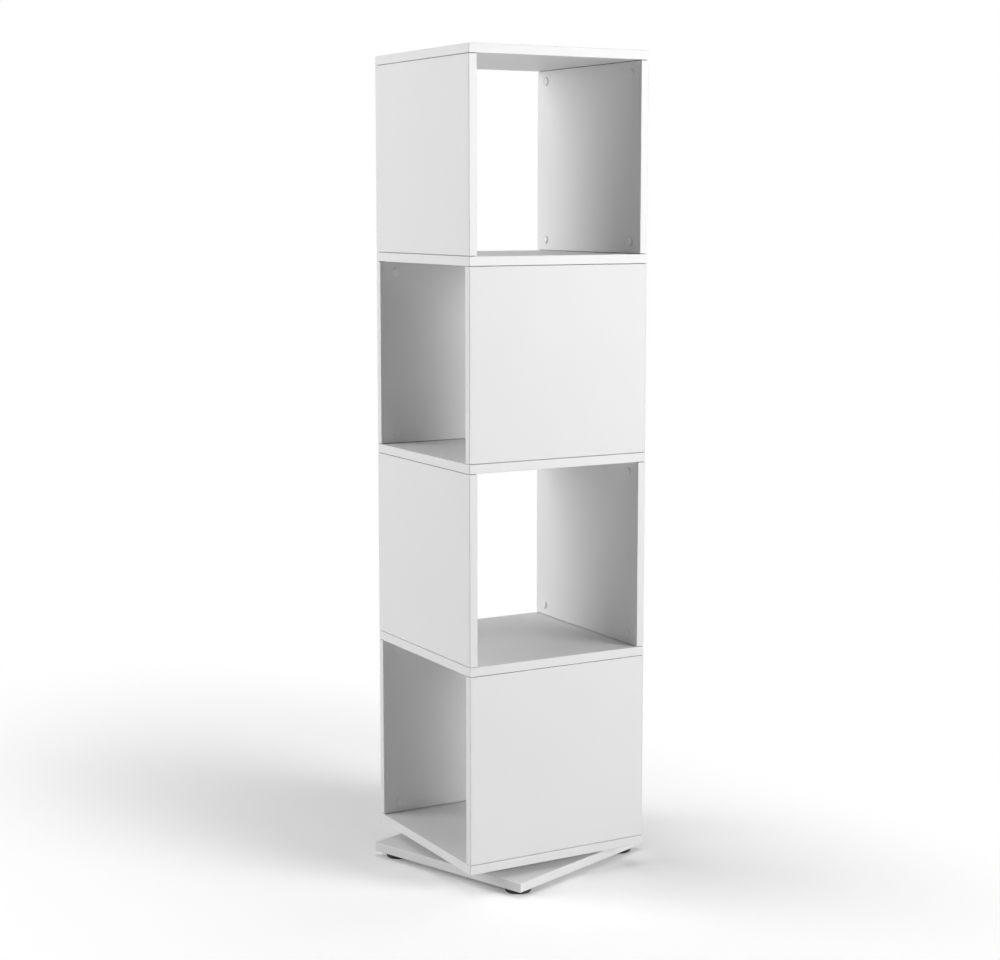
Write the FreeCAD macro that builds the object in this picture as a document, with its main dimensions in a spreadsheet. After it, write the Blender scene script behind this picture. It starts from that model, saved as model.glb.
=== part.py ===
"""Revolving bookcase tower: four open compartments stacked on a swivelling base.

Millimetres, +Z up. The origin is on the floor, on the axis that the column turns about.
The column's faces lie square to X and Y, and the base stands turned under it by base_turn.
Front is -Y and left is -X. Levels and shelves are counted from the floor up.
"""
import FreeCAD, Part
import os

import Sketcher
from FreeCAD import Placement, Rotation, Vector

# Driving dimensions, each written once: millimetres, and degrees for angles.
SIZES = {
    "column_width": 350,  # square footprint of the boards
    "clear_height": 330,  # height inside a compartment, where a lever-arch file stands
    "board_thickness": 16,
    "panel_thickness": 15,
    "edge_chamfer": 0.5,  # eased edge of every board and panel
    "base_width": 346,
    "base_thickness": 16,
    "base_turn": 20,  # how far the base stands turned against the column
    "glide_height": 10,
    "glide_radius": 23,
    "glide_inset": 31,  # centre of a glide to the edges of the base
    "turntable_height": 13,  # gap between base plate and bottom board
    "turntable_width": 200,
    "turntable_corner": 12,  # cut corners of its plates
    "turntable_sheet": 2,
    "race_radius": 50,  # circle that the balls run on
    "race_gap": 2.6,  # between the rims of the two races
    "race_rim": 1.5,  # flat rim on each side of a groove
    "ball_diameter": 6,
    "ball_play": 0.05,  # running clearance of the balls in their grooves
    "cam_radius": 7.5,
    "cam_depth": 12.5,  # how deep a cam lock sits in its panel
    "cam_cover": 3,  # how far its cover stands out of the panel
    "cam_play": 0.1,  # radial clearance of a cam lock in its pocket
    "cam_setback": 20,  # centre of a cam lock to the panel's upper or lower end
    "cam_inset": 31,  # centre of a cam lock to the panel's upright edges
}

# The pair of opposite panels at each level. The open sides change from level to level.
LEVELS = (
    ("front", "back"),
    ("left", "right"),
    ("front", "back"),
    ("left", "right"),
)

# The column's sides, each a quarter turn on from the last.
SIDES = ("front", "right", "back", "left")

UPRIGHT = Vector(0, 0, 1)
SIDEWAYS = Vector(1, 0, 0)

# Heights and half widths that several pieces share, as expressions.
BASE_TOP = "(sizes.glide_height + sizes.base_thickness)"
COLUMN_FOOT = f"({BASE_TOP} + sizes.turntable_height)"
GLIDE_CENTRE = "(sizes.base_width / 2 - sizes.glide_inset)"
CAM_ACROSS = "(sizes.column_width / 2 - sizes.cam_inset)"
CAM_HEIGHTS = ("sizes.cam_setback", "(sizes.clear_height - sizes.cam_setback)")

# The V groove of a race stands at 45 degrees, so its corner is a ball's radius
# times the root of two below the ball's centre.
BALL_HEIGHT = "(sizes.turntable_height / 2)"
GROOVE_FLOOR = f"({BALL_HEIGHT} - sizes.ball_diameter / 2 * sqrt(2))"
RACE_TOP = f"({BALL_HEIGHT} - sizes.race_gap / 2)"
GROOVE_HALF = f"({RACE_TOP} - {GROOVE_FLOOR})"
RACE_INNER = f"(sizes.race_radius - {GROOVE_HALF} - sizes.race_rim)"
RACE_OUTER = f"(sizes.race_radius + {GROOVE_HALF} + sizes.race_rim)"

doc = FreeCAD.newDocument("revolving_bookcase")
sheet = doc.addObject("Spreadsheet::Sheet", "sizes")
for row, (size_name, size_value) in enumerate(SIZES.items(), start=1):
    sheet.set(f"A{row}", size_name)
    sheet.set(f"B{row}", str(size_value))
    sheet.setAlias(f"B{row}", size_name)
doc.recompute()


def value_of(expression):
    """What an expression on the sheet comes to."""
    return float(sheet.evalExpression(expression))


# Helpers for bodies and sketches.


def new_body(name):
    """An empty body. Its label names its file."""
    body = doc.addObject("PartDesign::Body", name)
    body.Label = name
    return body


def place(body, x="0", y="0", z="0", turn="0", axis=UPRIGHT):
    """Bind a body's position, and its turn about an axis, to expressions."""
    body.Placement = Placement(Vector(), Rotation(axis, value_of(turn)))
    for direction, expression in (("x", x), ("y", y), ("z", z)):
        body.setExpression(f"Placement.Base.{direction}", expression)
    if turn.startswith("sizes."):
        body.setExpression("Placement.Rotation.Angle", turn)


def new_sketch(body, name, plane):
    """A sketch on one of the body's own origin planes."""
    sketch = body.newObject("Sketcher::SketchObject", f"{body.Name}_{name}")
    origin_plane = [f for f in body.Origin.OriginFeatures if f.Role == plane][0]
    sketch.AttachmentSupport = [(origin_plane, "")]
    sketch.MapMode = "FlatFace"
    return sketch


def bind(sketch, kind, geometry, name, expression):
    """Add a named dimension to a sketch and bind it to an expression."""
    index = sketch.addConstraint(Sketcher.Constraint(kind, *geometry, value_of(expression)))
    sketch.renameConstraint(index, name)
    sketch.setExpression(f".Constraints.{name}", expression)


def rectangle(sketch, width, height, stands=False):
    """A rectangle about the sketch's origin or, where it stands, with its foot on it."""
    half = value_of(width) / 2
    low = 0 if stands else -value_of(height) / 2
    high = low + value_of(height)
    corners = [Vector(-half, low), Vector(half, low), Vector(half, high), Vector(-half, high)]
    for i in range(4):
        sketch.addGeometry(Part.LineSegment(corners[i], corners[(i + 1) % 4]), False)
    for i in range(4):
        sketch.addConstraint(Sketcher.Constraint("Coincident", i, 2, (i + 1) % 4, 1))
    for i in (0, 2):
        sketch.addConstraint(Sketcher.Constraint("Horizontal", i))
    for i in (1, 3):
        sketch.addConstraint(Sketcher.Constraint("Vertical", i))
    if stands:
        sketch.addConstraint(Sketcher.Constraint("Symmetric", 0, 1, 0, 2, -1, 1))
    else:
        sketch.addConstraint(Sketcher.Constraint("Symmetric", 0, 1, 1, 2, -1, 1))
    bind(sketch, "DistanceX", (0, 1, 0, 2), "width", width)
    bind(sketch, "DistanceY", (1, 1, 1, 2), "height", height)


def polygon(sketch, corners):
    """A closed polygon. Each corner is a pair of expressions: across and up, neither negative."""
    points = [Vector(value_of(across), value_of(up)) for across, up in corners]
    for i, point in enumerate(points):
        sketch.addGeometry(Part.LineSegment(point, points[(i + 1) % len(points)]), False)
    for i in range(len(points)):
        sketch.addConstraint(Sketcher.Constraint("Coincident", i, 2, (i + 1) % len(points), 1))
    for i, (across, up) in enumerate(corners):
        if across == "0":
            sketch.addConstraint(Sketcher.Constraint("PointOnObject", i, 1, -2))
        else:
            bind(sketch, "DistanceX", (-1, 1, i, 1), f"across_{i}", across)
        if up == "0":
            sketch.addConstraint(Sketcher.Constraint("PointOnObject", i, 1, -1))
        else:
            bind(sketch, "DistanceY", (-1, 1, i, 1), f"up_{i}", up)


def circles(sketch, centres, radius):
    """Equal circles. Each centre is a pair, across and up, of a sign and an expression."""
    for i, centre in enumerate(centres):
        point = Vector(*(sign * value_of(size) for sign, size in centre))
        sketch.addGeometry(Part.Circle(point, UPRIGHT, value_of(radius)), False)
        for kind, (sign, size) in zip(("DistanceX", "DistanceY"), centre):
            ends = (-1, 1, i, 3) if sign > 0 else (i, 3, -1, 1)
            bind(sketch, kind, ends, f"{kind}_{i}", size)
        bind(sketch, "Radius", (i,), f"Radius_{i}", radius)


def pad(body, sketch, length, reverse=False):
    """Pad a sketch by an expression, along its normal or, reversed, against it."""
    feature = body.newObject("PartDesign::Pad", f"{sketch.Name}_pad")
    feature.Profile = sketch
    feature.Reversed = reverse
    feature.setExpression("Length", length)
    doc.recompute()
    return feature


def revolve(body, sketch):
    """Turn a sketch on the XZ plane once round the upright axis."""
    feature = body.newObject("PartDesign::Revolution", f"{sketch.Name}_turned")
    feature.Profile = sketch
    feature.ReferenceAxis = (sketch, ["V_Axis"])
    feature.Angle = 360
    doc.recompute()
    return feature


def ease_edges(body, feature):
    """Chamfer every edge of a plain board or panel."""
    chamfer = body.newObject("PartDesign::Chamfer", f"{body.Name}_eased")
    chamfer.Base = (feature, [f"Edge{i + 1}" for i in range(len(feature.Shape.Edges))])
    chamfer.setExpression("Size", "sizes.edge_chamfer")
    doc.recompute()


# The base: a square plate on four glides.


def make_board(name, width, thickness, z, turn="0"):
    """A square board with eased edges, centred on the axis."""
    body = new_body(name)
    outline = new_sketch(body, "outline", "XY_Plane")
    rectangle(outline, width, width)
    ease_edges(body, pad(body, outline, thickness))
    place(body, z=z, turn=turn)


def make_glides():
    """Four round glides, one under each corner of the base."""
    body = new_body("glides")
    body.AllowCompound = True
    discs = new_sketch(body, "discs", "XY_Plane")
    corners = ((-1, -1), (1, -1), (1, 1), (-1, 1))
    centres = [((across, GLIDE_CENTRE), (along, GLIDE_CENTRE)) for across, along in corners]
    circles(discs, centres, "sizes.glide_radius")
    pad(body, discs, "sizes.glide_height")
    place(body, turn="sizes.base_turn")


# The turntable: two plates with grooved races, and a ring of balls between them.


def upright_edges(shape):
    """Names of the upright edges of a plain block."""
    names = []
    for i, edge in enumerate(shape.Edges, start=1):
        box = edge.BoundBox
        if box.ZLength > max(box.XLength, box.YLength):
            names.append(f"Edge{i}")
    return names


def make_turntable_plate(name, z, turn, axis):
    """A square plate with cut corners and, round its central hole, one grooved race."""
    body = new_body(name)
    outline = new_sketch(body, "outline", "XY_Plane")
    rectangle(outline, "sizes.turntable_width", "sizes.turntable_width")
    plate = pad(body, outline, "sizes.turntable_sheet")
    corners = body.newObject("PartDesign::Chamfer", f"{name}_corners")
    corners.Base = (plate, upright_edges(plate.Shape))
    corners.setExpression("Size", "sizes.turntable_corner")
    doc.recompute()
    race = new_sketch(body, "race", "XZ_Plane")
    polygon(
        race,
        [
            (RACE_INNER, "0"),
            (RACE_OUTER, "0"),
            (RACE_OUTER, RACE_TOP),
            (f"sizes.race_radius + {GROOVE_HALF}", RACE_TOP),
            ("sizes.race_radius", GROOVE_FLOOR),
            (f"sizes.race_radius - {GROOVE_HALF}", RACE_TOP),
            (RACE_INNER, RACE_TOP),
        ],
    )
    revolve(body, race)
    centre = new_sketch(body, "centre", "XY_Plane")
    centre.addGeometry(Part.Circle(Vector(), UPRIGHT, value_of(RACE_INNER)), False)
    centre.addConstraint(Sketcher.Constraint("Coincident", 0, 3, -1, 1))
    bind(centre, "Radius", (0,), "hole", RACE_INNER)
    hole = body.newObject("PartDesign::Pocket", f"{name}_hole")
    hole.Profile = centre
    hole.Type = "ThroughAll"
    hole.Midplane = True
    doc.recompute()
    place(body, z=z, turn=turn, axis=axis)


def make_ball_ring():
    """The caged balls as one ring of square section, its corners running where the balls do."""
    body = new_body("turntable_ball_ring")
    reach = "((sizes.ball_diameter / 2 - sizes.ball_play) * sqrt(2) / 2)"
    inner, outer = f"sizes.race_radius - {reach}", f"sizes.race_radius + {reach}"
    low, high = f"{BALL_HEIGHT} - {reach}", f"{BALL_HEIGHT} + {reach}"
    section = new_sketch(body, "section", "XZ_Plane")
    polygon(section, [(inner, low), (outer, low), (outer, high), (inner, high)])
    revolve(body, section)
    place(body, z=BASE_TOP)


# The column: boards, pairs of panels between them, and the cam locks that hold them.


def board_top(level):
    """Height of the upper face of the board that closes this level."""
    boards_below = f"{level} * (sizes.clear_height + sizes.board_thickness)"
    return f"({COLUMN_FOOT} + sizes.board_thickness + {boards_below})"


def stand_on_side(body, side, level):
    """Turn what is drawn for the front to its side, and stand it on the board below."""
    turn = 90 * SIDES.index(side)
    place(
        body,
        x=f"sin({turn}) * sizes.column_width / 2",
        y=f"-cos({turn}) * sizes.column_width / 2",
        z=board_top(level - 1),
        turn=str(turn),
    )


def cam_circles(body, radius):
    """Four circles at the places of the cam locks, on the plane of their pockets' floors."""
    sketch = new_sketch(body, "cams", "XZ_Plane")
    sketch.setExpression("AttachmentOffset.Base.z", "sizes.cam_depth - sizes.panel_thickness")
    centres = [((side, CAM_ACROSS), (1, height)) for height in CAM_HEIGHTS for side in (-1, 1)]
    circles(sketch, centres, radius)
    return sketch


def make_panel(side, level):
    """A panel as wide as the boards, with a pocket for a cam lock near each inner corner."""
    body = new_body(f"{side}_panel_{level}")
    outline = new_sketch(body, "outline", "XZ_Plane")
    rectangle(outline, "sizes.column_width", "sizes.clear_height", stands=True)
    ease_edges(body, pad(body, outline, "sizes.panel_thickness", reverse=True))
    pockets = body.newObject("PartDesign::Pocket", f"{body.Name}_pockets")
    pockets.Profile = cam_circles(body, "sizes.cam_radius + sizes.cam_play")
    pockets.setExpression("Length", "sizes.cam_depth")
    doc.recompute()
    stand_on_side(body, side, level)


def make_cam_locks(side, level):
    """The panel's four cam locks, each closed by a cover that stands out of the panel."""
    body = new_body(f"cam_locks_{side}_{level}")
    body.AllowCompound = True
    discs = cam_circles(body, "sizes.cam_radius")
    pad(body, discs, "sizes.cam_depth + sizes.cam_cover", reverse=True)
    stand_on_side(body, side, level)


def build():
    """Make every piece, from the floor up."""
    make_glides()
    width, thickness = "sizes.base_width", "sizes.base_thickness"
    make_board("base_plate", width, thickness, "sizes.glide_height", turn="sizes.base_turn")
    make_turntable_plate("turntable_lower_plate", BASE_TOP, "sizes.base_turn", UPRIGHT)
    make_ball_ring()
    make_turntable_plate("turntable_upper_plate", COLUMN_FOOT, "180", SIDEWAYS)
    width, thickness = "sizes.column_width", "sizes.board_thickness"
    make_board("bottom_board", width, thickness, COLUMN_FOOT)
    for level, pair in enumerate(LEVELS, start=1):
        for side in pair:
            make_panel(side, level)
            make_cam_locks(side, level)
        name = "top_board" if level == len(LEVELS) else f"shelf_board_{level}"
        make_board(name, width, thickness, f"{board_top(level)} - sizes.board_thickness")


def export():
    """Check every object and every piece, then write one STEP file for each piece."""
    doc.recompute()
    for thing in doc.Objects:
        if {"Invalid", "Error"} & set(thing.State):
            raise RuntimeError(f"{thing.Label} failed: {thing.State}")
    bodies = [thing for thing in doc.Objects if thing.TypeId == "PartDesign::Body"]
    for body in bodies:
        if body.Shape.isNull() or not body.Shape.isValid():
            raise RuntimeError(f"{body.Label} has no valid shape")
    os.makedirs("parts", exist_ok=True)
    for body in bodies:
        body.Shape.exportStep(f"parts/{body.Label}.step")


build()
export()
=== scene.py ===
"""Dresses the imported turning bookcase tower: boards, fittings, turntable, finishes and studio."""
import math

import bpy
from mathutils import Euler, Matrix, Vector


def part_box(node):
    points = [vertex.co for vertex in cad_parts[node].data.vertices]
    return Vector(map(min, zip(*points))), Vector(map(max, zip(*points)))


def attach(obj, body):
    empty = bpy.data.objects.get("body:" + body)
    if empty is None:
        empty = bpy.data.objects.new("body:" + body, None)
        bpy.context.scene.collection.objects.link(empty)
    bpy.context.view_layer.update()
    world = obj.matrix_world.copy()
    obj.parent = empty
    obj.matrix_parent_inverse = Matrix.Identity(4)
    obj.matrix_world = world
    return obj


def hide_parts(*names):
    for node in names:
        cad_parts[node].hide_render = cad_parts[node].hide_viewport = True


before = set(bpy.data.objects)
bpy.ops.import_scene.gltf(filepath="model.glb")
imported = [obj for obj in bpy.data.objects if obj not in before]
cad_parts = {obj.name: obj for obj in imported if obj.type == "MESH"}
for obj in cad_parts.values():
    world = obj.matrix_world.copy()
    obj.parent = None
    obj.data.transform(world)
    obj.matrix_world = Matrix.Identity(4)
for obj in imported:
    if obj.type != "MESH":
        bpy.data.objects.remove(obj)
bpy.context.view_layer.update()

MM = 0.001
SAME = 0.01 * MM                  # points nearer than this count as one
FACING = 0.99                     # least share of a normal along the axis that its face is square to
CORNERS = ((-1, -1), (-1, 1), (1, -1), (1, 1))

BASE_TURN = math.radians(20)      # the base stands turned against the column
SIDES = {"front": (0, -1), "right": (1, 0), "back": (0, 1), "left": (-1, 0)}
BOARDS = ("bottom_board", "shelf_board_1", "shelf_board_2", "shelf_board_3", "top_board")
PANELS = (
    ("front", 1), ("back", 1), ("left", 2), ("right", 2),
    ("front", 3), ("back", 3), ("left", 4), ("right", 4),
)


# ---------------------------------------------------------------- hand tools


def clear_selection():
    """Leaves edit mode and deselects every object."""
    if bpy.context.mode != "OBJECT":
        bpy.ops.object.mode_set(mode="OBJECT")
    bpy.ops.object.select_all(action="DESELECT")


def only(piece):
    """Leaves one piece selected and active, in object mode."""
    clear_selection()
    piece.select_set(True)
    bpy.context.view_layer.objects.active = piece


def apply_place():
    """Moves the active piece's place, turn and size into its mesh."""
    bpy.ops.object.transform_apply(location=True, rotation=True, scale=True)


def name_piece(piece, name):
    piece.name = name
    piece.data.name = name


def added(name):
    """Names the primitive that was just added and applies its size."""
    piece = bpy.context.active_object
    name_piece(piece, name)
    apply_place()
    return piece


def edit(piece, mode, everything=False):
    """Opens a piece in edit mode with all or none of it selected."""
    only(piece)
    bpy.ops.object.mode_set(mode="EDIT")
    bpy.ops.mesh.select_mode(type=mode)
    bpy.ops.mesh.select_all(action="SELECT" if everything else "DESELECT")


def pick_faces(piece, test):
    """Selects, in edit mode, the faces whose centre and normal pass the test."""
    edit(piece, "FACE")
    bpy.ops.object.mode_set(mode="OBJECT")
    for face in piece.data.polygons:
        face.select = test(face.center, face.normal)
    bpy.ops.object.mode_set(mode="EDIT")


def pick_edges(piece, test):
    """Selects, in edit mode, the edges whose two ends pass the test."""
    edit(piece, "EDGE")
    bpy.ops.object.mode_set(mode="OBJECT")
    points = piece.data.vertices
    for edge in piece.data.edges:
        edge.select = test(points[edge.vertices[0]].co, points[edge.vertices[1]].co)
    bpy.ops.object.mode_set(mode="EDIT")


def bevel(width, segments, affect="EDGES"):
    """Rounds what is selected."""
    bpy.ops.mesh.bevel(offset=width, offset_type="OFFSET", segments=segments, profile=0.5, affect=affect)


def pull_up(height):
    """Extrudes what is selected straight up."""
    bpy.ops.mesh.extrude_region_move(TRANSFORM_OT_translate={"value": (0, 0, height)})


def widen(share, height):
    """Sizes what is selected about the upright, at a height."""
    bpy.ops.transform.resize(value=(share, share, 1), center_override=(0, 0, height))


def drop_skin():
    """Deletes the open piece's faces and leaves their edges, all selected."""
    bpy.ops.mesh.select_mode(type="FACE")
    bpy.ops.mesh.select_all(action="SELECT")
    bpy.ops.mesh.delete(type="ONLY_FACE")
    bpy.ops.mesh.select_mode(type="EDGE")
    bpy.ops.mesh.select_all(action="SELECT")


def assign(piece, slot):
    """Gives the selected faces one of the piece's finishes and closes the piece."""
    piece.active_material_index = slot
    bpy.ops.object.material_slot_assign()
    bpy.ops.object.mode_set(mode="OBJECT")


def put(piece, place, turn=(0, 0, 0)):
    """Turns a finished piece, sets it in place and applies both."""
    only(piece)
    piece.rotation_euler = turn
    piece.location = place
    apply_place()


def copy_of(piece, name):
    """A copy with its own mesh."""
    twin = piece.copy()
    twin.data = piece.data.copy()
    name_piece(twin, name)
    bpy.context.scene.collection.objects.link(twin)
    return twin


def join(pieces, name):
    """Makes one piece of several."""
    only(pieces[0])
    for piece in pieces[1:]:
        piece.select_set(True)
    bpy.ops.object.join()
    piece = bpy.context.active_object
    name_piece(piece, name)
    return piece


def outward(piece):
    """Merges doubles, then turns every face outwards."""
    edit(piece, "VERT", everything=True)
    bpy.ops.mesh.remove_doubles(threshold=SAME)
    bpy.ops.mesh.normals_make_consistent(inside=False)
    bpy.ops.object.mode_set(mode="OBJECT")


def use_modifier(piece, kind, **settings):
    """Adds a modifier, sets it and applies it."""
    only(piece)
    bpy.ops.object.modifier_add(type=kind)
    modifier = piece.modifiers[-1]
    for key, value in settings.items():
        setattr(modifier, key, value)
    bpy.ops.object.modifier_apply(modifier=modifier.name)


def shade(piece, degrees):
    """Smooths the edges that turn by less than an angle."""
    only(piece)
    bpy.ops.object.shade_smooth_by_angle(angle=math.radians(degrees))


def smooth(piece, degrees):
    """Smooths the roundings and keeps the flats flat."""
    shade(piece, degrees)
    use_modifier(piece, "WEIGHTED_NORMAL", mode="FACE_AREA", weight=80, keep_sharp=True)


def settle(piece, body, slot, *nodes):
    """Closes a piece: its body and the nodes it stands for. The slot argument is not used."""
    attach(piece, body)
    if nodes:
        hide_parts(*nodes)


def size_of(node):
    low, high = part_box(node)
    return high - low


def middle_of(node):
    low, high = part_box(node)
    return (low + high) / 2


# ---------------------------------------------------------------- shader tools


MIX_FACTOR, MIX_FIRST, MIX_SECOND, MIX_RESULT = 0, 6, 7, 2   # a Mix node's sockets for colours
WHITE = (1, 1, 1, 1)


class Amount:
    """A number in a finish. Reckoning with it adds Math nodes."""

    def __init__(self, finish, socket):
        self.finish = finish
        self.socket = socket

    def reckon(self, operation, other):
        made = self.finish.node("ShaderNodeMath", {"operation": operation}, {0: self, 1: other})
        return Amount(self.finish, made.outputs[0])

    def __add__(self, other):
        return self.reckon("ADD", other)

    __radd__ = __add__

    def __mul__(self, other):
        return self.reckon("MULTIPLY", other)

    __rmul__ = __mul__


class Finish:
    """A material or the world in the making, with the nodes that feed its surface."""

    def __init__(self, owner, output="ShaderNodeOutputMaterial"):
        owner.use_nodes = True
        self.owner = owner
        self.tree = owner.node_tree
        self.tree.nodes.clear()
        self.output = self.node(output)

    def node(self, kind, settings=None, inputs=None):
        """Adds a node, sets it, then fills or links its sockets."""
        made = self.tree.nodes.new(kind)
        for key, value in (settings or {}).items():
            setattr(made, key, value)
        for key, value in (inputs or {}).items():
            self.feed(made.inputs[key], value)
        return made

    def feed(self, socket, value):
        if isinstance(value, Amount):
            value = value.socket
        if isinstance(value, bpy.types.NodeSocket):
            self.tree.links.new(value, socket)
        else:
            socket.default_value = value

    def place(self):
        """The piece's own coordinates, in metres."""
        return self.node("ShaderNodeTexCoord").outputs["Object"]

    def noise(self, scale, detail=2.0, roughness=0.5, stretch=None):
        """Cloudy noise between 0 and 1, stretched along an axis where asked."""
        where = self.place()
        if stretch:
            where = self.node("ShaderNodeMapping", None, {"Vector": where, "Scale": stretch}).outputs[0]
        made = self.node(
            "ShaderNodeTexNoise", None,
            {"Vector": where, "Scale": scale, "Detail": detail, "Roughness": roughness},
        )
        return Amount(self, made.outputs[0])

    def ramp(self, value, low, high, interpolation="LINEAR"):
        """0 below low, 1 above high."""
        made = self.node(
            "ShaderNodeMapRange", {"interpolation_type": interpolation, "clamp": True},
            {"Value": value, "From Min": low, "From Max": high, "To Min": 0.0, "To Max": 1.0},
        )
        return Amount(self, made.outputs[0])

    def seen(self):
        """1 where it is looked at, also in a mirror or through glass, and 0 where it only gives light."""
        rays = self.node("ShaderNodeLightPath").outputs
        eye = Amount(self, rays["Is Camera Ray"])
        for ray in ("Is Glossy Ray", "Is Transmission Ray"):
            eye = eye.reckon("MAXIMUM", rays[ray])
        return eye

    def mix(self, factor, first, second):
        """One colour blended into another."""
        sockets = {MIX_FACTOR: factor, MIX_FIRST: (*first, 1), MIX_SECOND: (*second, 1)}
        return self.node("ShaderNodeMix", {"data_type": "RGBA"}, sockets).outputs[MIX_RESULT]

    def bump(self, height, distance, strength):
        made = self.node(
            "ShaderNodeBump", None, {"Height": height, "Distance": distance, "Strength": strength}
        )
        return made.outputs[0]

    def matt(self, colour):
        return self.node("ShaderNodeBsdfDiffuse", None, {"Color": (*colour, 1)}).outputs[0]

    def blend(self, factor, first, second):
        """One shader blended into another."""
        return self.node("ShaderNodeMixShader", None, {0: factor, 1: first, 2: second}).outputs[0]

    def close(self, shader):
        """Ends the finish in a shader and returns what it belongs to."""
        self.feed(self.output.inputs["Surface"], shader)
        return self.owner

    def surface(self, **values):
        """Feeds the shader that nearly every finish ends in."""
        named = {key.replace("_", " "): value for key, value in values.items()}
        return self.close(self.node("ShaderNodeBsdfPrincipled", None, named).outputs[0])


def new_finish(name):
    return Finish(bpy.data.materials.new(name))


def grey(tone):
    return (tone, tone, tone)


# ---------------------------------------------------------------- finishes


def faced_board_finish():
    """White melamine facing: satin, with a pearl grain and faint wiping marks."""
    f = new_finish("white_melamine_face")
    cloud = f.noise(5.0, detail=3.0)
    pearl = f.noise(1300.0, roughness=0.6)
    wiped = f.noise(22.0, detail=4.0, roughness=0.6, stretch=(1.0, 1.0, 0.35))
    return f.surface(
        Base_Color=f.mix(cloud * 0.6 + pearl * 0.4, grey(0.815), grey(0.850)),
        Roughness=0.40 + wiped * 0.10 + pearl * 0.06,
        Specular_IOR_Level=0.45,
        Normal=f.bump(pearl + cloud * 0.2, distance=0.03 * MM, strength=0.5),
    )


def edge_band_finish():
    """White plastic edge band: smoother, with fine lines along its run."""
    f = new_finish("white_edge_band")
    streak = f.noise(900.0, stretch=(0.03, 0.03, 1.0))
    fleck = f.noise(240.0)
    return f.surface(
        Base_Color=f.mix(fleck, grey(0.820), grey(0.850)),
        Roughness=0.34 + streak * 0.12,
        Specular_IOR_Level=0.45,
        Normal=f.bump(streak, distance=0.02 * MM, strength=0.4),
    )


def arris_line_and_shade_finish():
    """A dark hairline painted along the middle of each upright arris: partly the line where the edge band
    ends, partly painted shade where the rounded corner turns away from the lamps.
    """
    f = new_finish("band_end_and_painted_arris_shade")
    line_mottle = f.noise(300.0, detail=3.0)
    return f.surface(
        Base_Color=f.mix(line_mottle, grey(0.20), grey(0.34)),
        Roughness=0.6 + line_mottle * 0.2,
        Specular_IOR_Level=0.3,
    )


def core_and_seam_shade_finish():
    """Raw chipboard, seen only in the open joints, made darker than bare chipboard as painted shade in the
    seams.
    """
    f = new_finish("chipboard_core_and_painted_seam_shade")
    chip = f.noise(420.0, detail=4.0, roughness=0.7)
    return f.surface(
        Base_Color=f.mix(f.ramp(chip, 0.35, 0.65), (0.13, 0.115, 0.095), (0.24, 0.21, 0.17)),
        Roughness=0.8 + chip * 0.15,
        Specular_IOR_Level=0.25,
        Normal=f.bump(chip, distance=0.2 * MM, strength=0.8),
    )


def cover_finish():
    """White moulded plastic of the cam lock covers."""
    f = new_finish("white_moulded_plastic")
    fine = f.noise(700.0)
    return f.surface(
        Base_Color=f.mix(fine, grey(0.82), grey(0.87)),
        Roughness=0.18 + fine * 0.12,
        Specular_IOR_Level=0.5,
        Normal=f.bump(fine, distance=0.02 * MM, strength=0.4),
    )


def glide_finish():
    """Black moulded plastic, grained, with pale scuffs in patches."""
    f = new_finish("black_moulded_plastic")
    grain = f.noise(1500.0, roughness=0.7)
    patch = f.noise(60.0, detail=4.0, roughness=0.65)
    scuff = f.ramp(patch, 0.56, 0.72)
    return f.surface(
        Base_Color=f.mix(scuff * 0.6, grey(0.012), grey(0.045)),
        Roughness=0.38 + scuff * 0.22 + grain * 0.08,
        Specular_IOR_Level=0.45,
        Normal=f.bump(grain, distance=0.05 * MM, strength=0.6),
    )


def zinc_finish():
    """Zinc plated sheet: dull, clouded, with fine rolling lines."""
    f = new_finish("zinc_plated_steel")
    cloud = f.noise(70.0, detail=4.0, roughness=0.6)
    lines = f.noise(1200.0, roughness=0.6, stretch=(0.04, 1.0, 1.0))
    return f.surface(
        Base_Color=f.mix(cloud, (0.50, 0.51, 0.52), (0.66, 0.66, 0.65)),
        Metallic=1.0,
        Roughness=0.30 + cloud * 0.16 + lines * 0.08,
        Normal=f.bump(lines, distance=0.02 * MM, strength=0.4),
    )


def ball_finish():
    """Polished ball steel under a thin film of grease."""
    f = new_finish("polished_ball_steel")
    film = f.noise(180.0, detail=3.0, roughness=0.6)
    return f.surface(
        Base_Color=f.mix(film, (0.58, 0.57, 0.55), (0.68, 0.68, 0.68)),
        Metallic=1.0,
        Roughness=0.12 + film * 0.14,
        Normal=f.bump(film, distance=0.02 * MM, strength=0.3),
    )


# Where the floor runs out into plain white: a long oval round the tower, in metres.
FADE_CENTRE = (-0.10, -0.10, 0)
FADE_TURN = math.radians(-84)
FADE_REACH = (2.03, 0.90, 1)
FADE_START = 0.26                 # share of that reach at which the fading starts
FLOOR_GREY = grey(0.78)           # what the floor throws back on the tower
FLOOR_PAPER = grey(1.28)          # what the eye sees of it


def floor_finish():
    """Pale studio floor. It runs out into the white backdrop and keeps the shadows."""
    f = new_finish("pale_studio_floor")
    spot = f.node("ShaderNodeMapping", {"vector_type": "TEXTURE"}, {
        "Vector": f.place(), "Location": FADE_CENTRE, "Rotation": (0, 0, FADE_TURN), "Scale": FADE_REACH})
    reach = f.node("ShaderNodeVectorMath", {"operation": "LENGTH"}, {0: spot.outputs[0]})
    fade = f.ramp(reach.outputs["Value"], FADE_START, 1.0, "SMOOTHSTEP")
    white = f.node("ShaderNodeEmission", None, {"Color": WHITE, "Strength": 1.0}).outputs[0]
    eye_floor = f.blend(fade, f.matt(FLOOR_PAPER), white)
    return f.close(f.blend(f.seen(), f.matt(FLOOR_GREY), eye_floor))


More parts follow.
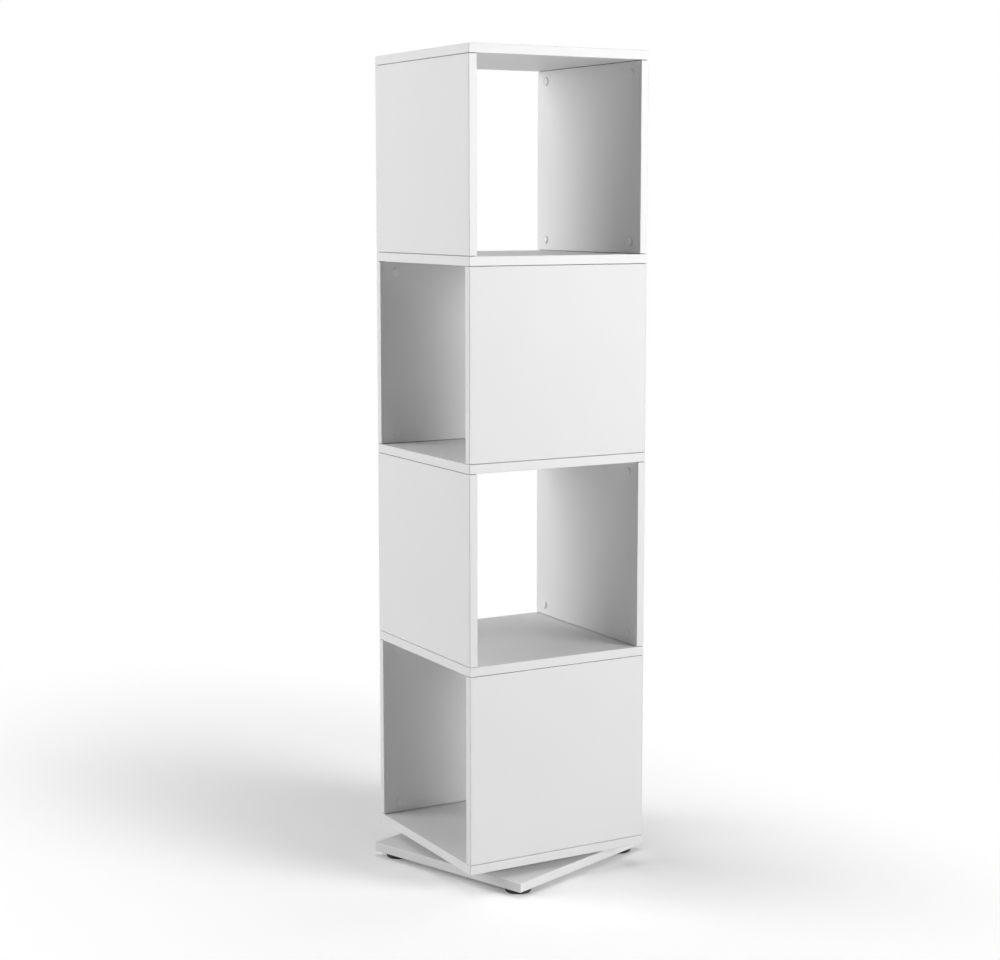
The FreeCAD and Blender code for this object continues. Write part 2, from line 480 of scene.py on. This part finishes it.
FACE = faced_board_finish()
BAND = edge_band_finish()
CORE_AND_SEAM_SHADE = core_and_seam_shade_finish()
ARRIS_LINE_AND_SHADE = arris_line_and_shade_finish()
COVER = cover_finish()
BLACK = glide_finish()
ZINC = zinc_finish()
BALL = ball_finish()


# ---------------------------------------------------------------- boards and panels


ARRIS = 1.1 * MM                  # rounding of every board edge
ARRIS_STEPS = 5                   # odd, so that one step lies on each corner's middle
BAND_WIDTH = 1.9 * MM             # thickness of the edge band
GLUE_LINE = 0.16 * MM             # half width of the line between band and face
OPEN_JOINT = 0.8 * MM             # height of the joint round each end of a panel
JOINT_DEPTH = 3.0 * MM            # how far that joint reaches in
BAND_SLOT, FACE_SLOT, SEAM_SHADE_SLOT, ARRIS_SHADE_SLOT = range(4)
ACROSS_Y, ACROSS_Z = 1, 2         # the axis across a board's thickness


def on_corner(centre, normal):
    """The middle step of an upright arris."""
    return abs(normal.z) < 1 - FACING and abs(abs(normal.x) - abs(normal.y)) < 1 - FACING


def finished_board(name, size, flat):
    """A faced board about the origin. flat is the axis across its thickness.

    An upright one, a panel, has an open joint round both of its ends.
    """
    stands = flat != ACROSS_Z
    body = Vector(size)
    if stands:
        body.z -= 2 * OPEN_JOINT
    end, face = body.z / 2, size[flat] / 2
    clear_selection()
    bpy.ops.mesh.primitive_cube_add(size=1, scale=body)
    board = added(name)
    for finish in (BAND, FACE, CORE_AND_SEAM_SHADE, ARRIS_LINE_AND_SHADE):
        board.data.materials.append(finish)
    edit(board, "EDGE", everything=True)
    bevel(ARRIS, ARRIS_STEPS)
    # paints the dark arris hairline: partly the edge band's end, partly painted shade
    pick_faces(board, on_corner)
    assign(board, ARRIS_SHADE_SLOT)
    if stands:
        pick_faces(board, lambda centre, normal: abs(normal.z) > FACING)
        bpy.ops.mesh.inset(thickness=JOINT_DEPTH - ARRIS, use_individual=True)
        bpy.ops.mesh.inset(thickness=0, depth=OPEN_JOINT, use_individual=True)
        # the ends and the open joint's walls get the dark core: raw chipboard, darkened as painted shade in
        # the seam
        pick_faces(board, lambda centre, normal: abs(centre.z) > end - SAME)
        assign(board, SEAM_SHADE_SLOT)
    pick_faces(board, lambda centre, normal: abs(normal[flat]) > FACING and abs(centre[flat]) > face - SAME)
    bpy.ops.mesh.inset(thickness=BAND_WIDTH - ARRIS, use_individual=True)
    bpy.ops.mesh.inset(thickness=GLUE_LINE, depth=-GLUE_LINE, use_individual=True)
    bpy.ops.mesh.inset(thickness=GLUE_LINE, depth=GLUE_LINE, use_individual=True)
    assign(board, FACE_SLOT)
    smooth(board, degrees=40)
    return board


board = finished_board("board", size_of("top_board"), ACROSS_Z)
for node in BOARDS:
    twin = copy_of(board, f"faced_{node}")
    put(twin, middle_of(node))
    settle(twin, "column", "white_board", node)
bpy.data.objects.remove(board)

panel = finished_board("panel", size_of("front_panel_1"), ACROSS_Y)
for side, level in PANELS:
    node = f"{side}_panel_{level}"
    twin = copy_of(panel, f"faced_{node}")
    put(twin, middle_of(node), (0, 0, math.pi / 2 if side in ("left", "right") else 0))
    settle(twin, "column", "white_board", node)
bpy.data.objects.remove(panel)

base_box = size_of("base_plate")
base_width = base_box.x / (math.cos(BASE_TURN) + math.sin(BASE_TURN))
base = finished_board("faced_base_plate", (base_width, base_width, base_box.z), ACROSS_Z)
put(base, middle_of("base_plate"), (0, 0, BASE_TURN))
settle(base, "base", "white_board", "base_plate")


# ---------------------------------------------------------------- cam lock covers


COVER_SIDES = 44
COVER_RADIUS = 7.5 * MM
COVER_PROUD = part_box("right_panel_4")[0].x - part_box("cam_locks_right_4")[0].x
COVER_SEAT = 0.3 * MM             # height of the seat that it stands on, and how far that is set in
COVER_RIM = 1.1 * MM              # height at which its side starts to round over
COVER_STEPS = 10                  # steps of that rounding
COVER_ROUND = math.radians(88)    # how far it rounds, so that a small flat stays in its middle
COVER_FULLNESS = 0.55             # below 1 it is fuller than a dome


def cam_cover():
    """A cushion shaped cover on a narrower seat, its back at the origin, proud towards +Z."""
    seat_radius = COVER_RADIUS - COVER_SEAT
    clear_selection()
    bpy.ops.mesh.primitive_cylinder_add(vertices=COVER_SIDES, radius=seat_radius, depth=COVER_SEAT,
                                        location=(0, 0, COVER_SEAT / 2), end_fill_type="NGON")
    cover = added("cam_cover")
    cover.data.materials.append(COVER)
    pick_faces(cover, lambda centre, normal: normal.z > FACING)
    pull_up(0)
    widen(COVER_RADIUS / seat_radius, COVER_SEAT)
    pull_up(COVER_RIM - COVER_SEAT)
    reach, height = COVER_RADIUS, COVER_RIM
    for step in range(1, COVER_STEPS + 1):
        angle = COVER_ROUND * step / COVER_STEPS
        new_reach = COVER_RADIUS * math.cos(angle) ** COVER_FULLNESS
        new_height = COVER_RIM + (COVER_PROUD - COVER_RIM) * math.sin(angle)
        bpy.ops.mesh.inset(thickness=reach - new_reach, depth=new_height - height)
        reach, height = new_reach, new_height
    shade(cover, degrees=44)
    return cover


cover = cam_cover()
for side, level in PANELS:
    node = f"cam_locks_{side}_{level}"
    half = size_of(node) / 2
    out = Vector((*SIDES[side], 0))
    along = Vector((abs(out.y), abs(out.x), 0))
    wall = middle_of(node) + out * (COVER_PROUD - abs(half.dot(out)))
    along_reach, up_reach = half.dot(along) - COVER_RADIUS, half.z - COVER_RADIUS
    facing_in = (-out).to_track_quat("Z", "Y").to_euler()
    covers = []
    for across, up in CORNERS:
        twin = copy_of(cover, "cover")
        put(twin, wall + along * across * along_reach + Vector((0, 0, up * up_reach)), facing_in)
        covers.append(twin)
    settle(join(covers, f"cam_covers_{side}_{level}"), "column", "white_plastic", node)
bpy.data.objects.remove(cover)


# ---------------------------------------------------------------- glides


GLIDE_SIDES = 56
GLIDE_RADIUS = 23 * MM
GLIDE_INSET = 31 * MM             # from the base plate's edges to a glide's middle
LOWER_RIM = 1.6 * MM              # rounding at the floor
LOWER_RIM_STEPS = 4
UPPER_RIM = 0.5 * MM              # rounding under the base plate
UPPER_RIM_STEPS = 2
RECESS_RADIUS = 6.0 * MM          # screw recess underneath
RECESS_RIM = 0.3 * MM             # its chamfer
RECESS_TAPER = 0.6 * MM           # how much narrower it is at its floor
RECESS_DEPTH = 4.0 * MM


def glide(height):
    """A round foot with rounded rims and a screw recess underneath."""
    clear_selection()
    bpy.ops.mesh.primitive_cylinder_add(vertices=GLIDE_SIDES, radius=GLIDE_RADIUS, depth=height,
                                        location=(0, 0, height / 2), end_fill_type="NGON")
    foot = added("glide")
    foot.data.materials.append(BLACK)
    pick_edges(foot, lambda a, b: max(a.z, b.z) < SAME)
    bevel(LOWER_RIM, LOWER_RIM_STEPS)
    pick_edges(foot, lambda a, b: min(a.z, b.z) > height - SAME)
    bevel(UPPER_RIM, UPPER_RIM_STEPS)
    pick_faces(foot, lambda centre, normal: normal.z < -FACING)
    bpy.ops.mesh.inset(thickness=GLIDE_RADIUS - LOWER_RIM - RECESS_RADIUS)
    bpy.ops.mesh.inset(thickness=RECESS_RIM, depth=-RECESS_RIM)
    bpy.ops.mesh.inset(thickness=RECESS_TAPER, depth=-RECESS_DEPTH)
    shade(foot, degrees=35)
    return foot


foot = glide(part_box("glides")[1].z)
feet = []
for across, along in CORNERS:
    twin = copy_of(foot, "foot")
    spot = Vector((across, along, 0)) * (base_width / 2 - GLIDE_INSET)
    spot.rotate(Euler((0, 0, BASE_TURN)))
    put(twin, spot, (0, 0, BASE_TURN))
    feet.append(twin)
bpy.data.objects.remove(foot)
settle(join(feet, "rounded_glides"), "base", "black_plastic", "glides")


# ---------------------------------------------------------------- turntable


PLATE_WIDTH = 200 * MM
PLATE_CORNER = 20 * MM
PLATE_CORNER_STEPS = 9
SHEET = 2 * MM
SHEET_RIM = 0.3 * MM              # rounding of the plates' outer edges
SHEET_RIM_STEPS = 2
HOLE = 45.56 * MM                 # radius of the plates' central hole
RACE_STEPS = 72
RACE_RADIUS = 50 * MM
# Radius and height of the pressed race in millimetres, from the hole outwards.
RACE = (
    (45.56, 5.0), (45.8, 5.2), (47.06, 5.2), (49.6, 2.66), (50.0, 2.5), (50.4, 2.66),
    (52.94, 5.2), (54.2, 5.2), (54.44, 5.0), (54.44, 3.2), (54.9, 2.3), (55.8, 2.0),
)

SCREW_SPREAD = 80 * MM
HEAD_SIDES = 32
HEAD_RADIUS = 3.9 * MM
HEAD_SEAT = 0.9 * MM              # height of its straight side
# Run in and rise of the screw head's crown in millimetres, step by step.
HEAD_CROWN = ((0.25, 0.45), (0.45, 0.35), (0.7, 0.25), (0.9, 0.12))
CROSS_ARM = (4.0 * MM, 0.9 * MM, 2.4 * MM)
CROSS_HEIGHT = 2.0 * MM           # of the cross recess's middle
CROSS_TURNS = (45, 135)           # of its two arms, in degrees
SCREW_TWIST = (0.7, 0.3)          # each screw has stopped at an angle of its own

BALLS = 24
BALL_RADIUS = 2.95 * MM
BALL_SEGMENTS, BALL_RINGS = 18, 12
CAGE = (8.2 * MM, 0.9 * MM, 1)    # width and thickness of the cage's section
CAGE_ROUND = 0.25 * MM
CAGE_ROUND_STEPS = 2
CAGE_STEPS = 4                    # of the cage's turn to each ball


def race_ring():
    """The race as one open skin of revolution, from the sheet's underside up and out."""
    clear_selection()
    bpy.ops.mesh.primitive_circle_add(vertices=RACE_STEPS, radius=HOLE, fill_type="NOTHING")
    ring = added("race_ring")
    edit(ring, "EDGE", everything=True)
    radius, height = HOLE, 0.0
    for reach, rise in RACE:
        pull_up(rise * MM - height)
        widen(reach * MM / radius, rise * MM)
        radius, height = reach * MM, rise * MM
    bpy.ops.object.mode_set(mode="OBJECT")
    return ring


def sheet_outline():
    """The round cornered edge of the sheet, as an open band."""
    clear_selection()
    bpy.ops.mesh.primitive_plane_add(size=PLATE_WIDTH, location=(0, 0, SHEET))
    band = added("sheet_outline")
    edit(band, "VERT", everything=True)
    bevel(PLATE_CORNER, PLATE_CORNER_STEPS, "VERTICES")
    drop_skin()
    pull_up(-SHEET)
    bpy.ops.object.mode_set(mode="OBJECT")
    return band


def turntable_plate():
    """A pressed plate with its underside at the origin and its race standing up."""
    plate = join([race_ring(), sheet_outline()], "pressed_lower_plate")
    for level, reach in ((SHEET, RACE[-1][0] * MM), (0.0, HOLE)):
        pick_edges(plate, lambda a, b: max(abs(a.z - level), abs(b.z - level)) < SAME
                   and min(a.xy.length, b.xy.length) > reach - SAME)
        bpy.ops.mesh.bridge_edge_loops()
    outward(plate)
    pick_edges(plate, lambda a, b: abs(a.z - b.z) < SAME
               and min(a.xy.length, b.xy.length) > PLATE_WIDTH / 2 - SAME)
    bevel(SHEET_RIM, SHEET_RIM_STEPS)
    bpy.ops.object.mode_set(mode="OBJECT")
    plate.data.materials.append(ZINC)
    smooth(plate, degrees=30)
    return plate


def pan_screw():
    """A pan head screw with a cross recess, its seat at the origin."""
    clear_selection()
    bpy.ops.mesh.primitive_cylinder_add(vertices=HEAD_SIDES, radius=HEAD_RADIUS, depth=HEAD_SEAT,
                                        location=(0, 0, HEAD_SEAT / 2), end_fill_type="NGON")
    screw = added("pan_screw")
    screw.data.materials.append(ZINC)
    pick_faces(screw, lambda centre, normal: normal.z > FACING)
    for run, rise in HEAD_CROWN:
        bpy.ops.mesh.inset(thickness=run * MM, depth=rise * MM)
    for turn in CROSS_TURNS:
        clear_selection()
        bpy.ops.mesh.primitive_cube_add(size=1, location=(0, 0, CROSS_HEIGHT), scale=CROSS_ARM,
                                        rotation=(0, 0, math.radians(turn)))
        slot = added("slot")
        use_modifier(screw, "BOOLEAN", object=slot, operation="DIFFERENCE", solver="EXACT")
        bpy.data.objects.remove(slot)
    shade(screw, degrees=32)
    return screw


def screws(name, screw, place, turn, hung):
    """Four screws at a plate's corners, their heads up or, where hung, down."""
    four = []
    for across, along in CORNERS:
        twin = copy_of(screw, "screw")
        twist = across * SCREW_TWIST[0] + along * SCREW_TWIST[1]
        spot = (across * SCREW_SPREAD, along * SCREW_SPREAD, 0)
        put(twin, spot, (math.pi if hung else 0, 0, twist))
        four.append(twin)
    group = join(four, name)
    put(group, place, (0, 0, turn))
    return group


def ball_cage(height):
    """A flat ring round the turntable's axis."""
    clear_selection()
    bpy.ops.mesh.primitive_plane_add(size=1, location=(RACE_RADIUS, 0, height), rotation=(math.pi / 2, 0, 0))
    bpy.context.active_object.scale = CAGE
    cage = added("cage")
    edit(cage, "VERT", everything=True)
    bevel(CAGE_ROUND, CAGE_ROUND_STEPS, "VERTICES")
    drop_skin()
    bpy.ops.mesh.spin(steps=BALLS * CAGE_STEPS, angle=2 * math.pi, center=(0, 0, height), axis=(0, 0, 1))
    outward(cage)
    cage.data.materials.append(ZINC)
    smooth(cage, degrees=40)
    return cage


def caged_balls(height):
    """The balls in their cage, about the turntable's axis."""
    pieces = [ball_cage(height)]
    clear_selection()
    bpy.ops.mesh.primitive_uv_sphere_add(segments=BALL_SEGMENTS, ring_count=BALL_RINGS, radius=BALL_RADIUS)
    ball = added("ball")
    ball.data.materials.append(BALL)
    bpy.ops.object.shade_smooth()
    for step in range(BALLS):
        twin = copy_of(ball, "ball_copy")
        bearing = 2 * math.pi * step / BALLS
        spot = (RACE_RADIUS * math.cos(bearing), RACE_RADIUS * math.sin(bearing), height)
        put(twin, spot, (0, 0, bearing))
        pieces.append(twin)
    bpy.data.objects.remove(ball)
    return join(pieces, "caged_balls")


base_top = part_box("base_plate")[1].z
column_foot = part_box("bottom_board")[0].z
lower = turntable_plate()
upper = copy_of(lower, "pressed_upper_plate")
put(lower, (0, 0, base_top), (0, 0, BASE_TURN))
put(upper, (0, 0, column_foot), (math.pi, 0, 0))
settle(lower, "base", "zinc_steel", "turntable_lower_plate")
settle(upper, "column", "zinc_steel", "turntable_upper_plate")
screw = pan_screw()
lower_screws = screws("lower_plate_screws", screw, (0, 0, base_top + SHEET), BASE_TURN, hung=False)
upper_screws = screws("upper_plate_screws", screw, (0, 0, column_foot - SHEET), 0.0, hung=True)
settle(lower_screws, "base", "zinc_steel")
settle(upper_screws, "column", "zinc_steel")
bpy.data.objects.remove(screw)
settle(caged_balls(middle_of("turntable_ball_ring").z), "ball_ring", "ball_steel", "turntable_ball_ring")


# ---------------------------------------------------------------- studio


FLOOR_WIDTH = 60                  # metres
AIM = Vector((0, 0, 0.72))        # the tower's middle, which every lamp faces
# name, bearing and elevation in degrees, distance, width, height, power
SOFTBOXES = (
    ("softbox_front_low", -60, 10, 5.2, 2.8, 2.2, 185),
    ("softbox_front_high", -55.4, 50, 5.2, 2.2, 2.2, 24),
    ("softbox_back_low", 156.5, 12, 5.2, 4.4, 2.6, 149),
    ("softbox_back_high", 147.3, 38, 5.2, 2.2, 2.2, 33),
    ("softbox_over", 0, 89.9, 4.5, 2.5, 2.5, 60),
)


def studio_floor():
    clear_selection()
    bpy.ops.mesh.primitive_plane_add(size=FLOOR_WIDTH, location=(0, 0, 0))
    floor = added("studio_floor")
    floor.data.materials.append(floor_finish())


def white_backdrop():
    """Plain white where it is seen. It gives no light."""
    world = bpy.data.worlds.new("studio_world")
    bpy.context.scene.world = world
    w = Finish(world, "ShaderNodeOutputWorld")
    w.close(w.node("ShaderNodeBackground", None, {"Color": WHITE, "Strength": w.seen()}).outputs[0])


def softbox(name, bearing, rise, distance, width, height, power):
    """A round or oval soft lamp that faces the tower."""
    bearing, rise = math.radians(bearing), math.radians(rise)
    lamp = bpy.data.lights.new(name, "AREA")
    lamp.shape = "ELLIPSE"
    lamp.size = width
    lamp.size_y = height
    lamp.energy = power
    box = bpy.data.objects.new(name, lamp)
    bpy.context.scene.collection.objects.link(box)
    flat = math.cos(rise)
    reach = Vector((flat * math.cos(bearing), flat * math.sin(bearing), math.sin(rise))) * distance
    box.location = AIM + reach
    box.rotation_euler = reach.to_track_quat("Z", "Y").to_euler()


studio_floor()
white_backdrop()
for settings in SOFTBOXES:
    softbox(*settings)


# ---------------------------------------------------------------- camera


CAMERA_PLACE = (-1.7354, -3.0578, 1.1764)
CAMERA_YAW = math.radians(29.31)
CAMERA_DIP = math.radians(7.17)
SENSOR_WIDTH = 36
FOCAL_LENGTH = 71.44
LENS_SHIFT = -0.025

lens = bpy.data.cameras.new("camera")
lens.sensor_width = SENSOR_WIDTH
lens.lens = FOCAL_LENGTH
lens.shift_y = LENS_SHIFT
camera = bpy.data.objects.new("camera", lens)
bpy.context.scene.collection.objects.link(camera)
camera.location = CAMERA_PLACE
camera.rotation_euler = (math.pi / 2 - CAMERA_DIP, 0, -CAMERA_YAW)
bpy.context.scene.camera = camera
bpy.context.scene.view_settings.view_transform = "Standard"

bpy.context.view_layer.update()
